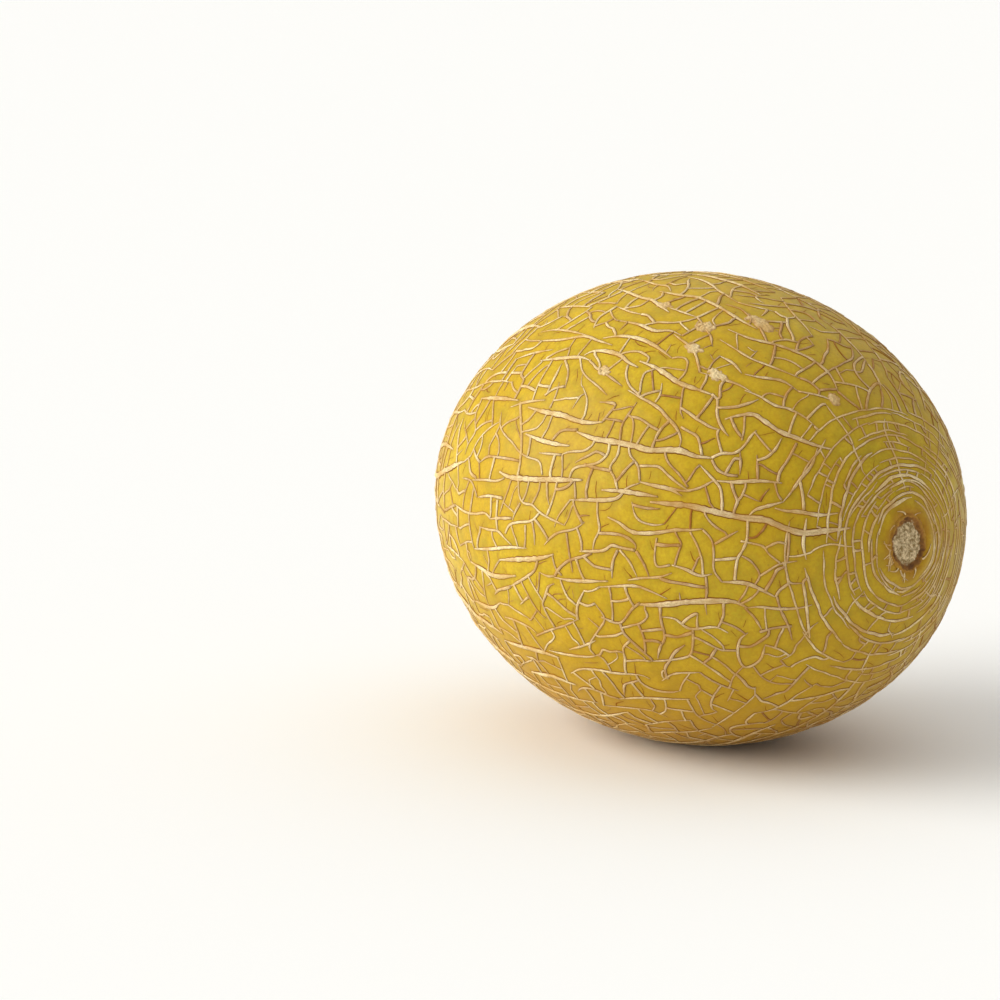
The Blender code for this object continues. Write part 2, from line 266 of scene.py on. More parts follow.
CELL_RIDGES = (               # the same places, in turns, for the thinner ridges between them
    (-24.9, -61.3, -22.1, -64.6, -16.5, -66.8, -9.8, -68.4, -4, -70.2, 1.3, -71, 8.6, -71.5, 11.7, -74.4),
    (-15, -58.1, -9.7, -62.6, -4.9, -67.3, -2, -72.5, -1.7, -76.3),
    (1.6, -51.4, 3.7, -54.9, 3.9, -58.3),
    (15, -51.4, 20.2, -54.3, 22.6, -58.1, 22.2, -59.5),
    (26.4, -54, 31.7, -53.4, 33.8, -53.6, 32.6, -56.6, 31.7, -58.4),
    (41.4, -51.2, 40.7, -55.1, 40.2, -58, 41.9, -61.8),
    (41.9, -61.8, 43.3, -65.6, 41.7, -69.2, 44.8, -71.4, 47.1, -74.2),
    (12, -65.8, 14.8, -63.2, 22.3, -62.1),
    (18.7, -68.8, 22.1, -67.7, 28.8, -66.6, 31.5, -64.7, 31.6, -63.4),
    (7.3, -69.5, 12.6, -69.2, 18.7, -68.8),
    (19.2, -68.8, 21.2, -72.2, 21.8, -74.6),
    (25.4, -73.8, 26.6, -71.2, 32.9, -69.7, 36.8, -68.4, 39.1, -66, 38.3, -63.2),
    (30.7, -69.9, 37.7, -70, 42.8, -69.8),
    (46.2, -62.4, 48, -64.8, 52.4, -67, 54.7, -70.7),
    (53.1, -66.9, 57.5, -66.1, 60.4, -65.8, 64.1, -67.3, 69.1, -69.1, 72.1, -69.9),
    (60.3, -61.5, 62.6, -63.9, 68.1, -66.4, 71.8, -69.1),
    (61.8, -53.5, 65.5, -53.9, 68.8, -54.4, 72.6, -58.9),
    (66, -70.6, 71.2, -70.4, 75.7, -68.4, 79.4, -64.8),
    (-5.1, -77.1, -6.4, -80.1, -8.6, -83.4, -10.1, -85.9),
    (-0.9, -76.7, 1, -80.2, 3.9, -81.8, 9, -81.8, 13.1, -83.1, 18.6, -84.1, 26.2, -85.1),
    (11.2, -75.6, 11.6, -78, 9.8, -80.6, 8.5, -81.9),
    (14.8, -75.3, 16.2, -78.8, 17.9, -81),
    (19.9, -75, 19.7, -78.4, 18.2, -82.2, 17, -83.7),
    (28.1, -74.4, 29.7, -77.4, 30, -78.6),
    (27.7, -78.9, 25.4, -81, 22.6, -83.7, 21.4, -86),
    (2.2, -82, -0.2, -84.3, -1.7, -86.4),
    (-16.7, -87.5, -10, -86.7, -2.4, -86),
    (-46.5, -87.1, -36.5, -87.8, -28, -87.4, -20.4, -86.4, -16.7, -87.3),
    (-29.1, -74.5, -24.7, -72.9, -19, -72.5, -9, -72.3, -2.7, -72.3),
    (-32.9, -79.3, -22.9, -78.5, -14.4, -78.1, -9.6, -77),
    (-26.5, -83.1, -17.8, -82, -9, -81.8),
    (-27.3, -83.1, -30.5, -80.9, -34.6, -79.5, -41.9, -79.5),
    (-5.9, -89.9, -3.4, -87.7, 2.5, -86.5, 9.2, -85.6, 13.2, -83.4),
    (9.8, -85.8, 11.2, -88.8, 11.2, -91.2),
    (6, -86.9, 6.2, -90.5, 5.5, -92.5),
    (-12.1, -82.5, -11.9, -87.3, -11.1, -89.9),
    (16.5, -90.7, 20.1, -88.5, 24, -87, 31, -85.6, 35.3, -83.5),
    (27.4, -86.9, 28.5, -90.5, 29.3, -93.4, 29.9, -96.3),
    (39.7, -77.6, 40.6, -81.2, 42.1, -84.8, 40.2, -87.5, 39.4, -90.6),
    (42.2, -85.6, 49.6, -85.2, 53.7, -85.8, 56.9, -87.4, 56.6, -88.8),
    (33.6, -90.8, 40.3, -90.3, 44.6, -89.7, 47.4, -88.2, 51.5, -88.6, 56.6, -88.8),
    (20.8, -98, 23.7, -95.8, 28.8, -93.4, 34.5, -92.2, 39, -90.9),
    (13, -97.7, 17.1, -98.3, 20.8, -98),
    (-5.7, -103.1, 4, -100, 10.4, -97.4, 12.5, -94.8),
    (20.5, -93.1, 21.7, -95.9, 24.4, -97.5),
    (49.9, -89.3, 47.8, -92.5, 47.1, -96.8),
    (50.7, -89.2, 54.6, -92.1, 57.1, -96),
    (57, -89, 59.2, -91.3, 61.3, -94.7, 61.6, -96.1),
    (64.4, -84.8, 64, -88.2, 64, -91.5, 65, -92.9, 69.3, -92.1),
    (53.5, -97, 58.2, -96.3, 65.6, -95.7, 69.8, -94.4),
    (53.5, -76.4, 55.5, -79.6, 58.4, -81.1, 63.3, -81.4, 66.4, -80.7),
    (54.1, -77.1, 58.8, -77.3, 64.2, -76.8),
    (75.4, -81.9, 78, -85.5, 79.7, -90, 79.9, -94.8),
    (80.8, -95.4, 80.8, -99.7, 80, -103),
    (79.4, -80.7, 82.4, -83.4, 83.3, -88.2, 83.3, -93.1, 85.5, -97.2),
    (83.4, -84.6, 86.2, -82.3, 89.6, -79.3),
    (91.7, -74.9, 92.3, -82.1, 91.2, -86.5, 90, -89.5, 89.2, -96.7),
    (91.3, -88, 94, -90.1, 96, -95.2, 94.5, -99),
    (83.7, -89.8, 87.4, -89.3, 90.2, -88.8),
    (96, -95.6, 98.5, -93.3, 100.9, -90.9, 104.7, -89.6),
    (101.6, -90, 102.4, -94.6, 102.9, -99.9, 105.7, -101),
    (99.2, -105.2, 100.4, -102.5, 102.9, -99.9),
    (99.5, -105.3, 99.6, -111.6, 100, -119.5, 99.2, -127.2),
    (83, -53.3, 85, -57.4, 85.9, -60.7),
    (76, -58.7, 78.3, -56.2, 81.9, -54.6, 83.4, -50.8, 83.6, -46.7, 84, -44.3),
    (76.3, -59.3, 79.2, -61.6, 82.6, -62, 85.5, -61.2),
    (78.5, -42.2, 80.8, -46.4, 81.9, -49.7),
    (73.3, -61.9, 78.4, -64.5, 81.6, -66.5, 83.3, -70.3, 84.1, -74),
    (87.9, -52, 90, -56.7, 91.2, -60.4),
    (91.2, -42, 91.5, -47.3, 90.3, -51.7, 88.6, -53.6),
    (95.2, -40.2, 95.8, -48.1, 95.5, -53.9, 96.2, -58.2),
    (95.6, -58.7, 97.4, -62.6, 98.7, -64),
    (100.8, -53.4, 102.8, -58.5, 104.2, -64.8),
    (102.3, -76.8, 102.7, -83.6, 102.5, -90.5),
    (105.7, -101, 105.6, -110.2, 104.5, -121.1, 102.9, -130.8),
    (90.8, -107.5, 92.7, -112.2, 93.4, -117.8),
    (64.3, -103.9, 63.4, -108.4, 63, -113.8, 59.8, -116.9, 57.1, -120.4),
    (79.6, -103.3, 79.3, -108),
    (28.3, -42.5, 30.5, -45.3, 35, -47.8, 41, -49.2),
    (4, -43.7, 9.5, -47.1, 14.8, -48.8, 21.6, -50.2, 27.8, -51.8),
    (19.1, -46.1, 25.5, -47.2, 31.8, -48.4),
    (46.1, -44, 48.3, -47.3, 48.1, -49.6),
    (-2.7, -45.3, 3.2, -48.4, 6.5, -52.7),
    (-2.2, -55.4, 1.3, -53.2, 5.9, -52.2),
    (2.2, -115.5, 11.4, -113, 20.8, -110.9, 28.4, -108.7),
    (33.8, -114.4, 27.5, -116.1, 18.6, -117.9),
    (38.2, -103.9, 41.1, -107.8, 37.6, -110.8, 31.9, -114.5, 29.4, -117, 30.8, -119),
    (39.9, -107.6, 47.1, -109.1, 53.4, -105, 57, -103.3),
    (53.8, -128.1, 60.4, -126.2, 69.3, -127.5),
    (56.6, -127.6, 57.8, -124, 61.3, -121.5, 64.5, -119, 69, -117.1),
    (73.5, -112.5, 72.1, -116.5, 69.2, -120.8, 63.3, -121.4, 53.5, -121.1),
    (89.5, -117.4, 86.5, -119.3, 83.9, -124.8, 83.7, -130.5, 88.8, -129.9, 92.4, -124.5),
    (92.7, -118.4, 96.8, -118.7, 100.7, -120.7),
    (90.7, -82.7, 96.6, -83.7, 97.9, -86.3, 100.9, -90.4),
)


def set_out(marks):
    """A crack's path through its marks: an even curve, a step at a time, held to the skin."""
    spots = [on_skin(place_inside(along, math.radians(degrees)))[0]
             for along, degrees in zip(marks[::2], marks[1::2])]
    spots = [spots[0] * 2 - spots[1]] + spots + [spots[-1] * 2 - spots[-2]]
    path = []
    for before, start, end, after in zip(spots, spots[1:], spots[2:], spots[3:]):
        count = max(int((end - start).length / STEP), 1)
        for index in range(count):
            t = index / count
            bend = (end - before) * t + (before * 2 - start * 5 + end * 4 - after) * t ** 2
            bend += (start * 3 - before - end * 3 + after) * t ** 3
            path.append(on_skin(start + bend * 0.5)[0])
    return path + [spots[-2]]


def crack_where_set_out():
    """Keep the long ridges first, then the cell walls, which join any ridge that their ends reach."""
    for share, marks in LONG_RIDGES:
        keep_crack(MAIN, set_out(marks), False, False, share)
    for marks in CELL_RIDGES:
        path = set_out(marks)
        joined = [nearest_crack(end, ())[1] < REACHES for end in (path[0], path[-1])]
        keep_crack(LINK, path, joined[0], joined[1], rng.uniform(0.8, 1.2))


def ring_arc(side, radius, start, sweep, drift):
    """Part of a ring round one end, wavering the way its neighbours do."""
    count = max(int(radius * sweep / STEP), 4)
    path = []
    for index in range(count + 1):
        share = index / count
        clock = start + sweep * share
        waver = noise.noise(Vector((math.cos(clock) * 1.4, math.sin(clock) * 1.4, radius * 0.11 * side)))
        ripple = noise.noise(Vector((math.cos(clock) * radius / 5, math.sin(clock) * radius / 5, radius)))
        distance = radius + waver * (0.4 + 0.07 * radius) + 0.6 * ripple + drift * (share - 0.5)
        path.append(end_place(side, distance, clock)[0])
    return path


def crack_rings(side, radii, wholeness):
    """Broken rings round one end: arcs whose ends overlap or leave a gap, wider apart and looser outward."""
    for radius in radii:
        clock = rng.uniform(0, 2 * math.pi)
        last = clock + 2 * math.pi
        while clock < last:
            sweep = min(math.radians(rng.uniform(20, 100)), last - clock + 0.05)
            drift = rng.uniform(-0.05, 0.05) * radius
            path = ring_arc(side, radius + rng.uniform(-0.7, 0.7), clock, sweep, drift)
            if rng.random() < wholeness - 0.011 * max(radius - 25.0, 0.0):
                keep_crack(RING, path, False, False, rng.uniform(0.65, 1.3))
            clock += sweep + rng.uniform(-5.0, 3.5) / radius


def crack_ring_crossings(side, count, nearest, farthest):
    """Cracks that run out from the stem straight through the rings, most of them broken once or twice."""
    for index in range(count):
        clock = 2 * math.pi * (index + rng.uniform(-0.3, 0.3)) / count
        distance = rng.uniform(nearest, nearest + 14.0)
        while distance < farthest:
            reach = rng.uniform(9.0, 34.0)
            start, normal = end_place(side, distance, clock + rng.uniform(-0.08, 0.08))
            outward = along_fruit(start, normal) * side
            path, _ = grow(start, outward, reach, follow=0.15, through=True)
            if len(path) > 4:
                keep_crack(RING, path, False, False, rng.uniform(0.6, 0.95))
            distance += reach * rng.uniform(0.9, 1.7)


MAINS_FROM_STEM = 68          # how far from the stem the long ridges of the rest of the fruit start,
MAINS_FROM_BLOSSOM = 24       # how far from the blossom end,
MAINS_FROM_SET_OUT = 13.0     # and how far from the ridges that are set out one by one


def crack_mains(tries):
    """Long main cracks over the body, a cell or more apart, thick in the middle and pointed at both ends."""
    set_out_places = [place for crack in cracks for place in crack["path"][::3]]
    kept = []
    for _ in range(tries):
        start, normal = anywhere()
        spacing = rng.uniform(6.0, 14.0)
        if (start - STEM_SPOT).length < MAINS_FROM_STEM:
            continue
        if (start - BLOSSOM_SPOT).length < MAINS_FROM_BLOSSOM:
            continue
        if any((start - place).length < spacing for place in kept):
            continue
        if any((start - place).length < MAINS_FROM_SET_OUT for place in set_out_places):
            continue
        number = len(cracks)
        reach = rng.choice((12.0, 18.0, 30.0, 46.0)) * rng.uniform(0.8, 1.2)
        heading = along_fruit(start, normal)
        heading.rotate(Quaternion(normal, rng.gauss(0.0, 0.12)))
        back, met_back = grow(start, -heading, reach, number, 0.025, 0.09, 0.14)
        front, met_front = grow(start, heading, reach, number, 0.025, 0.09, 0.14)
        path = back[::-1] + front[1:]
        if len(path) < 12:
            continue
        kept += path[::3]
        share = rng.choice((0.45, 0.55, 0.65, 0.8, 1.05))
        near_stem = min((place - STEM_SPOT).length for place in path)
        keep_crack(MAIN, path, met_back, met_front, share * (0.5 + 0.5 * smoothstep(35, 70, near_stem)))


def crack_ladders(count):
    """Short rungs from one ring at the stem to the next, which cut the rings into small oblong cells."""
    ring_places = [place for crack in cracks if crack["kind"] == RING for place in crack["path"]
                   if place.x > 0]
    owner = {id(place): number for number, crack in enumerate(cracks) for place in crack["path"]}
    for _ in range(count):
        start = rng.choice(ring_places)
        _, normal = on_skin(start)
        heading = along_fruit(start, normal) * rng.choice((1.0, 1.0, -1.0))
        heading.rotate(Quaternion(normal, rng.uniform(-0.45, 0.45)))
        path, met = grow(start, heading, rng.choice((5.0, 9.0)), owner[id(start)], 0.06)
        if len(path) > 3 and met:
            keep_crack(LINK, path, True, met, rng.uniform(0.6, 1.05))


def open_cell(place):
    """Widest clear distance to the net that stays uncracked: small at the ends, wide on the flanks."""
    stem = (place - STEM_SPOT).length
    blossom = (place - BLOSSOM_SPOT).length
    size = 3.7 - 0.8 * smoothstep(62, 34, stem) - 0.6 * smoothstep(170, 115, blossom)
    size -= 1.1 * smoothstep(115, 60, blossom) + 0.9 * smoothstep(-20.0, -75.0, place.z)
    size -= 0.5 * smoothstep(35.0, 80.0, place.z)
    return size * (1.0 + 0.36 * noise.noise(place / 24.0))


def crack_tree():
    """A search tree of every point of every crack, and the number of the crack that each point is of."""
    tree = kdtree.KDTree(sum(len(crack["path"]) for crack in cracks))
    owners = []
    for number, crack in enumerate(cracks):
        for place in crack["path"]:
            tree.insert(place, len(owners))
            owners.append(number)
    tree.balance()
    return tree, owners


SPOTS_A_ROUND = 700           # places looked at for an open cell, before the net is measured again


def crack_cells(kind, share, rounds, loose):
    """Cross every cell that is still too open, from its nearest crack through its middle and on."""
    for _ in range(rounds):
        tree, owners = crack_tree()
        open_spots = []
        for _ in range(SPOTS_A_ROUND):
            spot, _ = anywhere()
            if (spot - STEM_SPOT).length < BAND_EDGE + 1 or (spot - BLOSSOM_SPOT).length < 8:
                continue
            near, index, gap = tree.find(spot)
            if gap > open_cell(spot) * share * rng.uniform(0.8, 1.25):
                open_spots.append((gap, index, near.copy(), spot))
        open_spots.sort(key=lambda item: -item[0])
        for gap, index, near, spot in open_spots:
            found, _ = nearest_crack(spot, ())
            if found:
                continue
            short = rng.random() < loose
            reach = gap * rng.uniform(1.1, 1.9) if short else rng.uniform(14.0, 30.0)
            heading = spot - near
            path, met = grow(near, heading.normalized(), reach, owners[index], 0.03,
                             lean=rng.gauss(0.0, 0.035))
            if len(path) > 4:
                keep_crack(kind, path, True, met, rng.uniform(0.75, 1.25))


def crack_close_arcs(radii):
    """Extra short arcs between the rings over the stem and on its far side, where the skin split finer."""
    for radius in radii:
        clock = rng.uniform(-1.4, -0.7)
        while clock < 2.6:
            sweep = rng.uniform(0.35, 1.0)
            keep_crack(RING, ring_arc(1.0, radius, clock, sweep, rng.uniform(-1.2, 1.2)), False, False,
                       rng.uniform(0.6, 0.95))
            clock += sweep + rng.uniform(-0.1, 0.35)


def crack_rim_ticks(count):
    """Loose curved strands of cork round the stem scar's rim, most of them low on one side."""
    for _ in range(count):
        clock = rng.gauss(-2.3, 0.8) if rng.random() < 0.7 else rng.uniform(-math.pi, math.pi)
        near, far = rng.uniform(9.6, 11.2), rng.uniform(12.2, 15.0)
        lean = rng.gauss(0.0, 0.22)
        steps = int((far - near) / 0.5) + 2
        path = [end_place(1.0, near + (far - near) * step / steps, clock + lean * (step / steps) ** 2)[0]
                for step in range(steps + 1)]
        keep_crack(RING, path, True, False, rng.uniform(0.7, 1.1))


def crack_hairs(count):
    """Fine brown splits that haven't healed into cork yet, loose in the cells or out from a ridge."""
    for _ in range(count):
        start, normal = anywhere()
        if (start - STEM_SPOT).length < BAND_EDGE + 4:
            continue
        heading = along_fruit(start, normal)
        heading.rotate(Quaternion(normal, rng.choice((1.5, 1.8, 1.2, 0.3)) + rng.uniform(-0.3, 0.3)))
        path, met = grow(start, heading, rng.uniform(3.0, 10.0), None, 0.07, lean=rng.gauss(0.0, 0.06))
        if len(path) > 3:
            keep_crack(HAIR, path, False, met, rng.uniform(0.7, 1.4))


crack_where_set_out()
crack_mains(tries=3000)
crack_rings(1.0, (16.5, 17.9, 19.6, 22.6, 26.2, 30.2, 34.4, 38.8, 43.4, 48.2, 53.2), wholeness=0.97)
crack_rings(-1.0, (9.0, 13.5, 19.0), wholeness=0.8)
crack_close_arcs((21.1, 24.4, 28.2, 32.3, 36.6, 41.1, 45.8, 50.7))
crack_ring_crossings(1.0, count=9, nearest=18.0, farthest=46.0)
crack_ring_crossings(-1.0, count=8, nearest=9.0, farthest=30.0)
crack_ladders(420)
crack_cells(LINK, share=1.08, rounds=36, loose=0.06)
crack_cells(FINE, share=0.76, rounds=40, loose=0.2)
crack_rim_ticks(17)
crack_hairs(1500)


# The rind
# Waxy, satin skin of a ripe fruit, swelling a little in each cell of the net and dished at the stem scar.
# One closed sheet of even cells, about a millimetre each, that the net and the scars are rooted in.
RIND_CELLS = 124              # along each side of the six patches that wrap the fruit
SCAR_RADIUS = 10.5
BLOSSOM_RADIUS = 5.5
DISH_DEPTH = 3.2              # at the stem scar
BUTTON_DEPTH = 1.4            # at the blossom scar
PUFF_RISE = 0.7               # of the smooth band round the stem scar
CELL_SWELL = 0.22             # of the skin in the middle of a cell
STAIN_AND_SHADE_REACH = 0.50            # how far the brown beside a ridge reaches, partly a real stain and partly painted contact shade
SCORCH_FROM, SCORCH_REACH = 11.0, 4.0   # the browned band round the stem scar
CLOUDS = 45.45                # mm between clouds of riper gold
MOTTLES = 8.333               # mm between the olive mottles over it
SPOTS = 5.882                 # mm between brown specks
PORES = 1.111                 # mm between pores; real ones are about 0.1 mm apart, too fine to show


def linear(hex_colour):
    """An sRGB hex colour as the linear colour that a shader takes."""
    parts = [int(hex_colour[i:i + 2], 16) / 255 for i in (1, 3, 5)]
    return [c / 12.92 if c <= 0.04045 else ((c + 0.055) / 1.055) ** 2.4 for c in parts] + [1.0]


def add(tree, kind, settings=None, **inputs):
    """Add a node; a socket takes a value or another node's output. In a name, _ is a space."""
    node = tree.nodes.new(kind)
    for name, value in (settings or {}).items():
        setattr(node, name, value)
    for name, value in inputs.items():
        socket = node.inputs[int(name[1:])] if name[0] == "i" and name[1:].isdigit() else \
            node.inputs[name.replace("_", " ")]
        if isinstance(value, bpy.types.NodeSocket):
            tree.links.new(value, socket)
        else:
            socket.default_value = value
    return node


def new_finish(name):
    """A new material with its node tree and its shader."""
    material = bpy.data.materials.new(name)
    material.use_nodes = True
    return material, material.node_tree, material.node_tree.nodes["Principled BSDF"]


def spaced(size):
    """The scale of a texture whose marks are this many millimetres apart."""
    return 1.0 / (size * MM)


def make_piece(name, points, faces, values, material):
    """A smooth piece from points in millimetres from the fruit's middle, with its named vertex values."""
    mesh = bpy.data.meshes.new(name)
    places = np.array(points, dtype=np.float64)
    places[:, 2] = np.maximum(places[:, 2] - FLOOR_LEVEL, 0.0)
    mesh.from_pydata((places * MM).tolist(), [], faces)
    for label, numbers in values.items():
        layer = mesh.attributes.new(label, "FLOAT", "POINT")
        layer.data.foreach_set("value", np.asarray(numbers, dtype=np.float32))
    mesh.materials.append(material)
    mesh.shade_smooth()
    piece = bpy.data.objects.new(name, mesh)
    bpy.context.scene.collection.objects.link(piece)
    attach(piece, "root")
    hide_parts("cantaloupe")
    return piece


def out_from_stem(place):
    """How far out a place is from the middle of the oval stem scar."""
    return math.hypot(place.x - STEM_SPOT.x, (place.y - STEM_SPOT.y) / STEM_OVAL, place.z - STEM_SPOT.z)


def end_lift(place):
    """Height of the rind over the smooth skin near its two ends: a puffed band, then a dish at the scar."""
    from_stem = out_from_stem(place)
    from_blossom = (place - BLOSSOM_SPOT).length
    lift = PUFF_RISE * math.exp(-(((from_stem - 13.6) / 2.4) ** 2))
    lift -= DISH_DEPTH * smoothstep(SCAR_RADIUS + 0.6, SCAR_RADIUS - 1.6, from_stem)
    return lift - BUTTON_DEPTH * smoothstep(BLOSSOM_RADIUS + 1.0, BLOSSOM_RADIUS - 1.0, from_blossom)


def rind_grid():
    """Directions and faces of an even grid round the fruit, from the six sides of a cube of cells."""
    steps = np.arange(RIND_CELLS + 1)
    u, v = np.meshgrid(steps, steps, indexing="ij")
    low, high = np.zeros_like(u), np.full_like(u, RIND_CELLS)
    patches = [(high, u, v), (low, v, u), (v, high, u), (u, low, v), (u, v, high), (v, u, low)]
    lattice = np.concatenate([np.stack(patch, axis=-1).reshape(-1, 3) for patch in patches])
    points, index = np.unique(lattice, axis=0, return_inverse=True)
    index = index.reshape(6, RIND_CELLS + 1, RIND_CELLS + 1)
    quads = np.stack([index[:, :-1, :-1], index[:, 1:, :-1], index[:, 1:, 1:], index[:, :-1, 1:]], axis=-1)
    return np.tan((points / RIND_CELLS * 2 - 1) * math.pi / 4), quads.reshape(-1, 4)


def rind_material():
    """Ripe melon skin: cutin wax over yellow flesh, which gives a soft, broad sheen over mottled gold."""
    material, tree, shader = new_finish("waxy_golden_rind")
    spot = add(tree, "ShaderNodeTexCoord").outputs["Object"]
    cloud = add(tree, "ShaderNodeTexNoise", Vector=spot, Scale=spaced(CLOUDS), Detail=3.0, Roughness=0.55)
    mottle = add(tree, "ShaderNodeTexNoise", Vector=spot, Scale=spaced(MOTTLES), Detail=5.0, Roughness=0.65)
    speckle = add(tree, "ShaderNodeTexNoise", Vector=spot, Scale=spaced(PORES), Detail=3.0, Roughness=0.6)
    spots = add(tree, "ShaderNodeTexVoronoi", Vector=spot, Scale=spaced(SPOTS), Randomness=1.0)
    beside = add(tree, "ShaderNodeAttribute", {"attribute_name": "beside_net"}).outputs["Fac"]
    band = add(tree, "ShaderNodeAttribute", {"attribute_name": "beside_scar"}).outputs["Fac"]
    tone = add(tree, "ShaderNodeMapRange", Value=cloud.outputs["Fac"], i1=0.38, i2=0.64)
    gold = add(tree, "ShaderNodeMix", {"data_type": "RGBA"}, i0=tone.outputs[0],
               i6=linear("#cda81c"), i7=linear("#d4b524"))
    green = add(tree, "ShaderNodeMapRange", Value=mottle.outputs["Fac"], i1=0.44, i2=0.66, i4=0.55)
    olive = add(tree, "ShaderNodeMix", {"data_type": "RGBA"}, i0=green.outputs[0],
                i6=gold.outputs[2], i7=linear("#9e8b22"))
    place = add(tree, "ShaderNodeSeparateXYZ", Vector=spot)
    # The rind turns darker and more olive towards the stem end.
    stemward = add(tree, "ShaderNodeMapRange", Value=place.outputs["X"], i1=-0.03, i2=0.08, i4=0.22)
    darker_olive_stemward = add(tree, "ShaderNodeMix", {"data_type": "RGBA"}, i0=stemward.outputs[0],
                 i6=olive.outputs[2], i7=linear("#9a8a2c"))
    # Painted shade: the rind turns darker and browner low down towards the floor, where its underside falls
    # into shade.
    painted_shade_low = add(tree, "ShaderNodeMapRange", Value=place.outputs["Z"], i1=0.070, i2=0.006, i4=0.80)
    shaded_low_down = add(tree, "ShaderNodeMix", {"data_type": "RGBA"}, i0=painted_shade_low.outputs[0],
                 i6=darker_olive_stemward.outputs[2], i7=linear("#bd861a"))
    grain = add(tree, "ShaderNodeMapRange", Value=speckle.outputs["Fac"], i1=0.38, i2=0.66, i4=0.50)
    fleck = add(tree, "ShaderNodeMix", {"data_type": "RGBA"}, i0=grain.outputs[0],
                i6=shaded_low_down.outputs[2], i7=linear("#b3871e"))
    dot = add(tree, "ShaderNodeMapRange", Value=spots.outputs["Distance"], i1=0.10, i2=0.04, i4=0.35)
    dotted = add(tree, "ShaderNodeMix", {"data_type": "RGBA"}, i0=dot.outputs[0],
                 i6=fleck.outputs[2], i7=linear("#7d561e"))
    # Brown beside each ridge: partly a real stain of the torn skin, partly painted contact shade where the
    # ridge meets the rind.
    stain_and_contact_shade = add(tree, "ShaderNodeMath", {"operation": "MULTIPLY"}, i0=beside, i1=0.34)
    stained_and_shaded = add(tree, "ShaderNodeMix", {"data_type": "RGBA"}, i0=stain_and_contact_shade.outputs[0],
                  i6=dotted.outputs[2], i7=linear("#8c5f18"))
    patchy = add(tree, "ShaderNodeMapRange", Value=mottle.outputs["Fac"], i1=0.36, i2=0.62, i3=0.25, i4=0.85)
    scorch = add(tree, "ShaderNodeMath", {"operation": "MULTIPLY"}, i0=band, i1=patchy.outputs[0])
    browned = add(tree, "ShaderNodeMix", {"data_type": "RGBA"}, i0=scorch.outputs[0],
                  i6=stained_and_shaded.outputs[2], i7=linear("#a0671a"))
    dents = add(tree, "ShaderNodeBump", Strength=0.25, Distance=0.0004, Height=mottle.outputs["Fac"])
    pores = add(tree, "ShaderNodeBump", Strength=0.30, Distance=0.00008, Height=speckle.outputs["Fac"],
                Normal=dents.outputs[0])
    tree.links.new(browned.outputs[2], shader.inputs["Base Color"])
    tree.links.new(pores.outputs[0], shader.inputs["Normal"])
    shader.inputs["Roughness"].default_value = 0.40
    shader.inputs["Specular IOR Level"].default_value = 0.14
    return material


net_tree, net_owners = crack_tree()
directions, rind_faces = rind_grid()
rind_points, beside_net, beside_scar = [], [], []
for direction in directions.tolist():
    place, normal = on_skin((direction[0] * HALF_LENGTH, direction[1] * RADIUS, direction[2] * RADIUS))
    _, index, distance = net_tree.find(place)
    edge = max(distance - cracks[net_owners[index]]["half_width"], 0.0)
    rind_points.append(place + normal * (end_lift(place) + CELL_SWELL * smoothstep(0.6, 4.5, edge)))
    beside_net.append(math.exp(-edge / STAIN_AND_SHADE_REACH))
    from_scar = max(out_from_stem(place) - SCORCH_FROM, 0.0)
    beside_scar.append(math.exp(-((from_scar / SCORCH_REACH) ** 2)))
make_piece("rind", rind_points, rind_faces.tolist(),
           {"beside_net": beside_net, "beside_scar": beside_scar}, rind_material())


# The cork net
# Dry cork that has healed the splits: low ridges, cream on top, with a thin brown edge beside them, partly
# torn skin and partly painted contact shade. Each ridge is a closed strip with its root in the rind.
# Young splits are still brown, hardly raised.
ROOT = -0.35                  # depth of a ridge's root under the skin
# Columns of half a profile: place across in half widths, height over the skin, share of the ridge's height
EDGE_COLUMNS = ((-1.7, ROOT, 0.0), (-1.45, 0.04, 0.0), (-0.96, 0.05, 0.38), (-0.5, 0.05, 0.90))
HAIR_EDGE_COLUMNS = ((-1.6, ROOT, 0.0), (-1.0, 0.02, 0.0))
# Height of each kind of ridge in its half widths, how healed its youngest and its oldest are, how much
# less so at the stem end, and the most between two rows of its strip
HEIGHT_SHARES = {MAIN: 0.72, LINK: 0.80, FINE: 0.75, RING: 0.66, HAIR: 0.25}
HEALED = {MAIN: (0.9, 1.0), LINK: (0.65, 1.0), FINE: (0.35, 1.0), RING: (0.75, 1.0), HAIR: (0.0, 0.25)}
YOUNGER_AT_STEM = {MAIN: 0.22, LINK: 0.22, FINE: 0.22, RING: 0.08, HAIR: 0.22}
ROW_SPACING = {MAIN: 1.4, LINK: 2.1, FINE: 2.1, RING: 2.1, HAIR: 2.1}
CORK_CLOUDS = 11.11           # mm between paler and darker stretches
CORK_CRUMBS = 0.6667          # mm between crumbs; real ones are about 0.1 mm, too fine to show


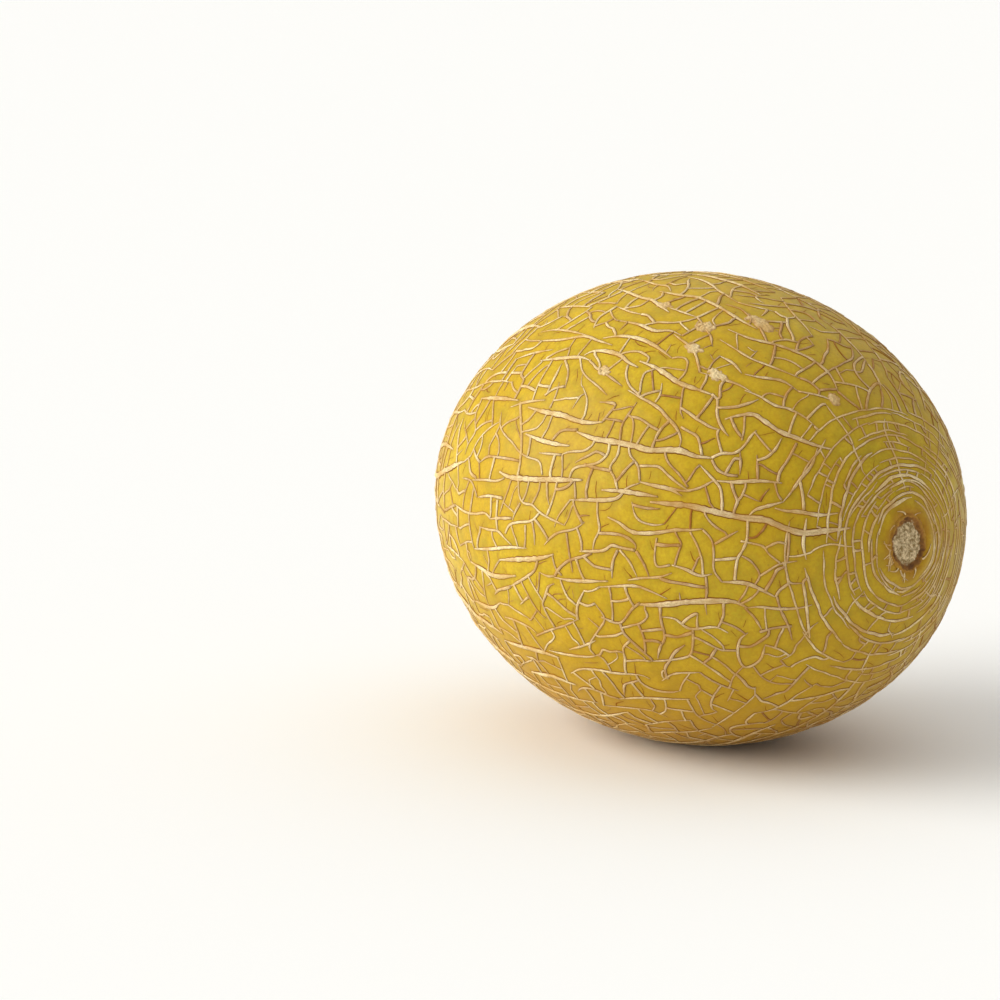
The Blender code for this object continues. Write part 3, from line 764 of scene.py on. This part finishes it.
def cork_material():
    """Suberised cork: matt, fibrous and pale, darker in its torn strands; brown where it is young or thin;
    brown at its edges, partly torn skin and partly painted contact shade.
    """
    material, tree, shader = new_finish("dry_cork_net")
    spot = add(tree, "ShaderNodeTexCoord").outputs["Object"]
    across = add(tree, "ShaderNodeAttribute", {"attribute_name": "across"}).outputs["Fac"]
    along = add(tree, "ShaderNodeAttribute", {"attribute_name": "along"}).outputs["Fac"]
    healed = add(tree, "ShaderNodeAttribute", {"attribute_name": "healed"}).outputs["Fac"]
    cloud = add(tree, "ShaderNodeTexNoise", Vector=spot, Scale=spaced(CORK_CLOUDS), Detail=4.0)
    crumb = add(tree, "ShaderNodeTexNoise", Vector=spot, Scale=spaced(CORK_CRUMBS), Detail=4.0, Roughness=0.7)
    tone = add(tree, "ShaderNodeMapRange", Value=cloud.outputs["Fac"], i1=0.36, i2=0.62)
    cream = add(tree, "ShaderNodeMix", {"data_type": "RGBA"}, i0=tone.outputs[0],
                i6=linear("#dfbd7c"), i7=linear("#f8e6b4"))
    # Torn strands run lengthways: a noise in the ridge's own coordinates, long along it, narrow across it
    strands = add(tree, "ShaderNodeCombineXYZ", X=across, Y=along, Z=0.0)
    stretched = add(tree, "ShaderNodeMapping", Vector=strands.outputs[0])
    stretched.inputs["Scale"].default_value = (2.6, 0.30, 1.0)
    strand = add(tree, "ShaderNodeTexNoise", Vector=stretched.outputs[0], Scale=1.0, Detail=3.0,
                 Roughness=0.6)
    torn = add(tree, "ShaderNodeMapRange", Value=strand.outputs["Fac"], i1=0.48, i2=0.37, i4=0.45)
    streaked = add(tree, "ShaderNodeMix", {"data_type": "RGBA"}, i0=torn.outputs[0],
                   i6=cream.outputs[2], i7=linear("#a5763c"))
    grit = add(tree, "ShaderNodeMapRange", Value=crumb.outputs["Fac"], i1=0.56, i2=0.40, i4=0.35)
    gritty = add(tree, "ShaderNodeMix", {"data_type": "RGBA"}, i0=grit.outputs[0],
                 i6=streaked.outputs[2], i7=linear("#b08848"))
    browned = add(tree, "ShaderNodeMix", {"data_type": "RGBA"}, i0=healed,
                  i6=linear("#95591a"), i7=gritty.outputs[2])
    # Brown flanks: partly the torn edge of skin, partly painted contact shade where the ridge meets the rind.
    side = add(tree, "ShaderNodeMath", {"operation": "ABSOLUTE"}, i0=across)
    flank_torn_and_shaded = add(tree, "ShaderNodeMapRange", Value=side.outputs[0], i1=0.90, i2=1.20)
    patchy = add(tree, "ShaderNodeMapRange", Value=cloud.outputs["Fac"], i1=0.40, i2=0.58, i3=0.35, i4=1.0)
    edge = add(tree, "ShaderNodeMix", {"data_type": "RGBA"}, i0=patchy.outputs[0],
               i6=linear("#a8761f"), i7=linear("#784813"))
    colour = add(tree, "ShaderNodeMix", {"data_type": "RGBA"}, i0=flank_torn_and_shaded.outputs[0],
                 i6=browned.outputs[2], i7=edge.outputs[2])
    fibres = add(tree, "ShaderNodeBump", Strength=0.5, Distance=0.0003, Height=strand.outputs["Fac"])
    bumps = add(tree, "ShaderNodeBump", Strength=0.6, Distance=0.0002, Height=crumb.outputs["Fac"],
                Normal=fibres.outputs[0])
    tree.links.new(colour.outputs[2], shader.inputs["Base Color"])
    tree.links.new(bumps.outputs[0], shader.inputs["Normal"])
    shader.inputs["Roughness"].default_value = 0.85
    shader.inputs["Specular IOR Level"].default_value = 0.1
    return material


def rows_along(path, longest):
    """Places along the eased crack for its rows, closer where it bends, and how far along it each one is."""
    places = np.array([tuple(place) for place in path])
    places[1:-1] = places[1:-1] * 0.5 + (places[:-2] + places[2:]) * 0.25
    steps = np.diff(places, axis=0)
    lengths = np.linalg.norm(steps, axis=1)
    headings = steps / lengths[:, None]
    at = np.concatenate([[0.0], np.cumsum(lengths)])
    kept = [0]
    for index in range(1, len(places) - 1):
        straight = headings[index].dot(headings[kept[-1]]) > 0.985
        if not straight or at[index + 1] - at[kept[-1]] > longest:
            kept.append(index)
    kept.append(len(places) - 1)
    return places[kept], at[kept]


def end_taper(at, joined, length):
    """Share of full size along a ridge: drawn out to a point at a free end, full where it meets another."""
    start = 1.0 if joined[0] else smoothstep(-0.15 * length, length, at)
    end = 1.0 if joined[1] else smoothstep(-0.15 * length, length, at[-1] - at)
    return np.minimum(start, end) * np.ones(len(at))


def ridge_strip(crack, columns, number):
    """Points and vertex values of one ridge: its profile carried along the crack, row by row."""
    kind = crack["kind"]
    places, at = rows_along(crack["path"], ROW_SPACING[kind])
    count = len(places)
    normals = np.array([tuple(on_skin(place)[1]) for place in places])
    tangents = np.gradient(places, axis=0)
    sideways = np.cross(normals, tangents)
    sideways /= np.linalg.norm(sideways, axis=1)[:, None]
    rough = np.array([noise.noise(Vector(place) * 0.45) for place in places])
    fray = np.array([noise.noise(Vector(place) * 1.3 + Vector((40, 0, 0))) for place in places])
    taper = end_taper(at, crack["joined"], min(13.0, 0.45 * at[-1]) if kind == MAIN else 5.0)
    flat = smoothstep(24.0, 52.0, np.hypot(places[:, 0], places[:, 1])) if places[0, 2] < -60 else 1.0
    half = crack["half_width"] * (0.30 + 0.70 * taper) * (1.0 + 0.28 * rough + 0.20 * fray)
    tall = crack["half_width"] * HEIGHT_SHARES[kind] * (0.25 + 0.75 * taper) * (1.0 + 0.3 * rough)
    tall = tall * (0.15 + 0.85 * flat)
    groove = smoothstep(-0.12, 0.16, fray + 0.5 * rough) * taper * (kind == MAIN)
    ends = np.array([end_lift(Vector(place)) for place in places])
    rows = []
    for across, height, share in columns:
        lift = ends + height + tall * share
        if across == 0.0:
            lift = lift - tall * 0.35 * groove
        wobble = across * (1.0 + 0.14 * np.roll(fray, 3) * np.sign(across))
        rows.append(places + sideways * (half * wobble)[:, None] + normals * lift[:, None])
    low, high = HEALED[kind]
    healed = low + (high - low) * (0.5 + 0.5 * math.sin(number * 2.4)) + 0.25 * rough
    healed = healed - YOUNGER_AT_STEM[kind] * smoothstep(-10.0, 70.0, places[:, 0])
    values = {
        "across": np.tile([across for across, _, _ in columns], count),
        "along": np.repeat(at + number * 7.0, len(columns)),
        "healed": np.repeat(np.clip(healed, 0.0, 1.0), len(columns)),
    }
    return np.stack(rows, axis=1).reshape(-1, 3), values, count


def strip_faces(count, wide, first):
    """Quads round and along one closed strip of this many rows, and a cap at each end."""
    rows = np.arange(count - 1)[:, None] * wide + first
    column = np.arange(wide)[None, :]
    following = (column + 1) % wide
    quads = np.stack(
        [rows + column, rows + wide + column, rows + wide + following, rows + following], axis=-1)
    start = list(range(first, first + wide))
    end = list(range(first + (count - 1) * wide, first + count * wide))
    return quads.reshape(-1, 4).tolist() + [start, end[::-1]]


def net_piece(name, kind, columns, chosen=lambda start: True):
    """Join the ridges of a kind in one piece, or those whose start is chosen."""
    points, faces, values, first = [], [], {"across": [], "along": [], "healed": []}, 0
    ridges = [crack for crack in cracks if crack["kind"] == kind and chosen(crack["path"][0])]
    for number, crack in enumerate(ridges):
        strip, strip_values, count = ridge_strip(crack, columns, number)
        points.append(strip)
        faces += strip_faces(count, len(columns), first)
        first += len(strip)
        for label in values:
            values[label].append(strip_values[label])
    values = {label: np.concatenate(parts) for label, parts in values.items()}
    make_piece(name, np.concatenate(points), faces, values, cork)


def mirrored(columns, middle):
    """A whole profile from the columns of its left half and those of its middle."""
    return columns + middle + tuple((-across, height, share) for across, height, share in columns[::-1])


cork = cork_material()
THICK_PROFILE = mirrored(EDGE_COLUMNS, ((-0.2, 0.05, 1.0), (0.0, 0.05, 1.0), (0.2, 0.05, 1.0)))
THIN_PROFILE = mirrored(EDGE_COLUMNS, ((0.0, 0.05, 1.0),))
HAIR_PROFILE = mirrored(HAIR_EDGE_COLUMNS, ((0.0, 0.04, 1.0),))
net_piece("net_long_ridges_upper", MAIN, THICK_PROFILE, lambda start: start.z >= 0)
net_piece("net_long_ridges_lower", MAIN, THICK_PROFILE, lambda start: start.z < 0)
net_piece("net_links_upper", LINK, THIN_PROFILE, lambda start: start.z >= 0)
net_piece("net_links_lower", LINK, THIN_PROFILE, lambda start: start.z < 0)
net_piece("net_stem_rings", RING, THIN_PROFILE)
net_piece("net_fine_ridges", FINE, THIN_PROFILE)
net_piece("net_young_splits", HAIR, HAIR_PROFILE)


# The stem scar, the blossom scar and the corky patches
# Where the stem came away there is a disc of dry fibrous tissue with a torn brown rim, sunk in the rind.
# The blossom end keeps a small corky button, and rubbed spots on top have healed into thin crusts.
SCAR_REACH = 13.0             # half the height of the stem scar's disc, whose rim is hidden in the rind
BUTTON_REACH = 6.2            # the same of the blossom scar's
PATCH_REACH = 1.3             # the same of a patch's, as a share of its size
HIDDEN_BASE = 0.96            # how far out from the fruit's middle a disc's base lies, as a share of its rim
SCAR_FIBRES = 1.333           # mm between fibres; real ones are about 0.3 mm, drawn coarser to show
SCAR_CLOUDS = 3.846           # mm between paler and browner tissue
PATCHES = (                   # mm along the fruit, clock angle from the top, length, width
    (42.0, -0.40, 4.2, 3.6), (54.5, -0.20, 8.5, 3.2), (46.0, -0.54, 5.0, 2.6), (61.5, -0.61, 4.6, 2.4),
    (18.0, -0.37, 4.0, 2.2), (19.5, -0.80, 3.6, 2.2), (93.0, -0.25, 3.4, 2.6), (-30.0, 0.9, 5.0, 3.0),
    (-52.0, 2.6, 4.4, 3.0), (28.0, 1.8, 4.0, 2.4),
)


def rough(place, size):
    """Layered noise of a given grain in millimetres, from about -1 to 1."""
    return noise.fractal(place / size, 0.7, 2.1, 4)


def stem_scar_height(distance, place):
    """Height over the rind across the stem scar, and how far it is torn wall and fibrous face there."""
    rim = 9.7 + 0.8 * rough(place, 8.0) + 0.9 * rough(place, 2.4)
    face = smoothstep(rim - 0.9, rim - 2.0, distance)
    wall = smoothstep(rim - 2.2, rim - 1.3, distance) * smoothstep(rim + 0.6, rim - 0.2, distance)
    fibre = abs(rough(place, 1.5))
    height = 0.5 * math.exp(-(((distance - rim) / 0.8) ** 2)) * (0.6 + 1.3 * rough(place, 1.3))
    height += (0.35 - 0.9 * smoothstep(rim + 0.7, rim + 2.6, distance)) * (1.0 - face)
    height -= face * (0.95 - 0.6 * fibre - 0.35 * smoothstep(6.5, 0.0, distance))
    height -= wall * (0.8 + 0.8 * rough(place, 1.8))
    return height, face, wall


def blossom_scar_height(distance, place):
    """The same for the blossom scar: a low corky button."""
    rim = 4.6 + 0.5 * rough(place, 4.0)
    face = smoothstep(rim, rim - 1.4, distance)
    height = 0.7 * face + 0.25 * rough(place, 1.1) - 0.8 * smoothstep(rim, rim + 1.2, distance)
    height -= 0.8 * smoothstep(1.6, 0.4, distance)
    return height, face, smoothstep(rim - 1.6, rim - 0.4, distance)


def crust_height(distance, place):
    """The same for a crust, which is measured in shares of its own size."""
    rim = 0.74 + 0.36 * rough(place, 3.0)
    face = smoothstep(rim, rim - 0.25, distance)
    height = 0.38 * face * (1.0 + 0.9 * rough(place, 1.0)) - 0.5 * smoothstep(rim, rim + 0.15, distance)
    return height, face, smoothstep(rim + 0.1, rim - 0.1, distance) * (1.0 - face)


def healed_disc(name, centre, lengthways, sizes, height_at, scale, steps, turns, material):
    """A closed disc laid on the rind: a rippled top made ring by ring, and a hidden base."""
    place, normal = on_skin(centre)
    sideways = normal.cross(lengthways).normalized()
    lengthways = sideways.cross(normal)
    points, faces = [], []
    values = {"face": [], "wall": [], "healed": []}
    for ring in range(1, steps + 1):
        share = (ring - 0.7) / (steps - 0.7)
        for turn in range(turns):
            angle = 2 * math.pi * turn / turns
            offset = lengthways * math.cos(angle) * sizes[0] + sideways * math.sin(angle) * sizes[1]
            spot, up = on_skin(place + offset * share)
            height, face, wall = height_at(share * scale, spot)
            points.append(spot + up * height)
            values["face"].append(face)
            values["wall"].append(wall)
            values["healed"].append(0.3 + 0.5 * face)
    faces.append(list(range(turns)))
    for ring in range(steps - 1):
        for turn in range(turns):
            near, far = ring * turns, (ring + 1) * turns
            following = (turn + 1) % turns
            faces.append([near + turn, far + turn, far + following, near + following])
    base = len(points)
    for turn in range(turns):
        points.append(points[base - turns + turn] * HIDDEN_BASE)
    values["face"] += [0.0] * turns
    values["wall"] += [0.0] * turns
    values["healed"] += [0.0] * turns
    for turn in range(turns):
        following = (turn + 1) % turns
        faces.append([base - turns + turn, base + turn, base + following, base - turns + following])
    faces.append([base + turn for turn in reversed(range(turns))])
    make_piece(name, points, faces, values, material)


def scar_material():
    """Dry vascular cork: pale grey-tan fibres with dark pits, and a scorched-looking brown torn wall."""
    material, tree, shader = new_finish("dry_fibrous_scar")
    spot = add(tree, "ShaderNodeTexCoord").outputs["Object"]
    face = add(tree, "ShaderNodeAttribute", {"attribute_name": "face"}).outputs["Fac"]
    wall = add(tree, "ShaderNodeAttribute", {"attribute_name": "wall"}).outputs["Fac"]
    fibre = add(tree, "ShaderNodeTexNoise", Vector=spot, Scale=spaced(SCAR_FIBRES), Detail=4.0,
                Roughness=0.65)
    cloud = add(tree, "ShaderNodeTexNoise", Vector=spot, Scale=spaced(SCAR_CLOUDS), Detail=3.0)
    pale = add(tree, "ShaderNodeMapRange", Value=fibre.outputs["Fac"], i1=0.40, i2=0.62)
    tissue = add(tree, "ShaderNodeMix", {"data_type": "RGBA"}, i0=pale.outputs[0],
                 i6=linear("#8d7344"), i7=linear("#e8d0a4"))
    warm = add(tree, "ShaderNodeMapRange", Value=cloud.outputs["Fac"], i1=0.35, i2=0.65)
    skin = add(tree, "ShaderNodeMix", {"data_type": "RGBA"}, i0=warm.outputs[0],
               i6=linear("#a4701c"), i7=linear("#b5882a"))
    faced = add(tree, "ShaderNodeMix", {"data_type": "RGBA"}, i0=face, i6=skin.outputs[2],
                i7=tissue.outputs[2])
    torn = add(tree, "ShaderNodeMix", {"data_type": "RGBA"}, i0=warm.outputs[0],
               i6=linear("#6b431a"), i7=linear("#a8732e"))
    colour = add(tree, "ShaderNodeMix", {"data_type": "RGBA"}, i0=wall, i6=faced.outputs[2],
                 i7=torn.outputs[2])
    bumps = add(tree, "ShaderNodeBump", Strength=0.7, Distance=0.0004, Height=fibre.outputs["Fac"])
    tree.links.new(colour.outputs[2], shader.inputs["Base Color"])
    tree.links.new(bumps.outputs[0], shader.inputs["Normal"])
    shader.inputs["Roughness"].default_value = 0.85
    return material


scar_tissue = scar_material()
healed_disc("stem_scar", STEM_SPOT, Vector((0, 0, 1)), (SCAR_REACH, SCAR_REACH * STEM_OVAL),
            stem_scar_height, SCAR_REACH, steps=46, turns=168, material=scar_tissue)
healed_disc("blossom_scar", BLOSSOM_SPOT, Vector((0, 0, 1)), (BUTTON_REACH, BUTTON_REACH),
            blossom_scar_height, BUTTON_REACH, steps=20, turns=72, material=scar_tissue)
for number, (along, clock, length, width) in enumerate(PATCHES):
    healed_disc(f"corky_patch_{number + 1}", Vector(place_inside(along, clock)), Vector((1, 0, 0)),
                (length * PATCH_REACH, width * PATCH_REACH), crust_height, 1.0, steps=14, turns=48,
                material=cork)


# The floor, the light and the camera
# A plain pale floor, a large soft light on the left, a weak one overhead, and a pale room that fills the
# shadows. The camera looks down ten degrees at the stem end, from the photograph's side.
CAMERA_TURN = math.radians(50.8)
CAMERA_RISE = math.radians(10.5)
CAMERA_DISTANCE = 1.5
AIM_LEFT = 0.0776             # metres from the fruit's middle to what the camera points at
AIM_UP = 0.003
LENS = 135.84
ROOM_STRENGTH = 0.43
FLOOR_REACH = 14.0            # metres from the fruit's middle to each edge of the floor


def pale_floor_material():
    """Matt white card: spreads soft light up under the fruit."""
    material, _, shader = new_finish("matt_white_card")
    shader.inputs["Base Color"].default_value = linear("#fafaf8")
    shader.inputs["Roughness"].default_value = 0.9
    return material


floor_mesh = bpy.data.meshes.new("floor")
floor_corners = [(x * FLOOR_REACH, y * FLOOR_REACH, 0) for x, y in ((-1, -1), (1, -1), (1, 1), (-1, 1))]
floor_mesh.from_pydata(floor_corners, [], [(0, 1, 2, 3)])
floor_mesh.materials.append(pale_floor_material())
floor = bpy.data.objects.new("floor", floor_mesh)
bpy.context.scene.collection.objects.link(floor)

to_camera = Vector((
    math.sin(CAMERA_TURN) * math.cos(CAMERA_RISE),
    -math.cos(CAMERA_TURN) * math.cos(CAMERA_RISE),
    math.sin(CAMERA_RISE),
))
rightward = Vector((math.cos(CAMERA_TURN), math.sin(CAMERA_TURN), 0.0))
upward = to_camera.cross(rightward)
middle_of_fruit = Vector((0.0, 0.0, -FLOOR_LEVEL * MM))
aim = middle_of_fruit - rightward * AIM_LEFT + upward * AIM_UP

camera_data = bpy.data.cameras.new("camera")
camera_data.lens = LENS
camera_data.sensor_width = 36.0
camera = bpy.data.objects.new("camera", camera_data)
camera.location = aim + to_camera * CAMERA_DISTANCE
camera.rotation_euler = to_camera.to_track_quat("Z", "Y").to_euler()
bpy.context.scene.collection.objects.link(camera)
bpy.context.scene.camera = camera


def soft_light(name, strength, spread, colour, towards):
    """A broad even light that comes from the given direction."""
    data = bpy.data.lights.new(name, "SUN")
    data.energy = strength
    data.angle = math.radians(spread)
    data.color = linear(colour)[:3]
    light = bpy.data.objects.new(name, data)
    light.rotation_euler = towards.to_track_quat("Z", "Y").to_euler()
    bpy.context.scene.collection.objects.link(light)


soft_light("key", strength=3.2, spread=55, colour="#fffdf8",
           towards=-rightward * 1.1 + to_camera * 0.06 + Vector((0, 0, 0.46)))
soft_light("overhead", strength=0.75, spread=90, colour="#ffffff",
           towards=rightward * 0.25 - to_camera * 0.35 + Vector((0, 0, 1.0)))

world = bpy.data.worlds.new("pale_room")
world.use_nodes = True
world.node_tree.nodes["Background"].inputs["Color"].default_value = linear("#ffffff")
world.node_tree.nodes["Background"].inputs["Strength"].default_value = ROOM_STRENGTH
bpy.context.scene.world = world
bpy.context.scene.view_settings.view_transform = "Standard"
